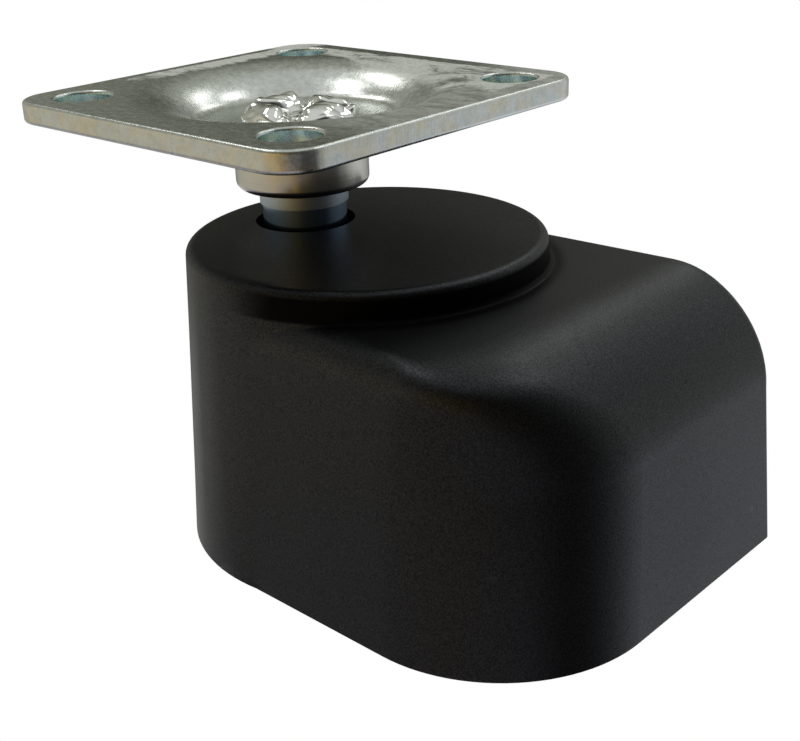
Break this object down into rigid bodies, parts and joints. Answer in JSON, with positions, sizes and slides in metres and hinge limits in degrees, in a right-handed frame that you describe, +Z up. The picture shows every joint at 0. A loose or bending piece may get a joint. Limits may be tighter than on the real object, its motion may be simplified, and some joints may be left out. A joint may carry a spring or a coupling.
{
  "type": "plate castor",
  "caption": "Hooded furniture castor: dished square fixing plate, staked swivel pin and a moulded hood that covers a trailing wheel.",
  "frame": {"origin": "centre of the fixing plate's top mounting face, on the swivel axis", "axes": "+Z up out of the mounting face, +X along the trail towards the nose of the hood, plate sides along X and Y"},
  "size_m": [0.0602, 0.0382, 0.046],
  "materials": {
    "plate": "bright zinc plated pressing",
    "pin": "bright zinc plated",
    "spring": "plain spring steel",
    "hood": "black satin moulding",
    "axle": "bright drawn",
    "wheel": "black satin moulding"
  },
  "bodies": {
    "mounting": {"top_plate": "plate", "kingpin": "pin", "snap_ring": "spring"},
    "housing": {"hood": "hood", "axle": "axle"},
    "roller": {"wheel": "wheel"}
  },
  "joints": [
    {"name": "swivel", "type": "hinge", "parent": "mounting", "child": "housing", "pos_m": [0, 0, -0.0126], "axis": [0, 0, 1], "continuous": true},
    {"name": "wheel_spin", "type": "hinge", "parent": "housing", "child": "roller", "pos_m": [0.0224, 0, -0.033], "axis": [0, 1, 0], "continuous": true}
  ]
}
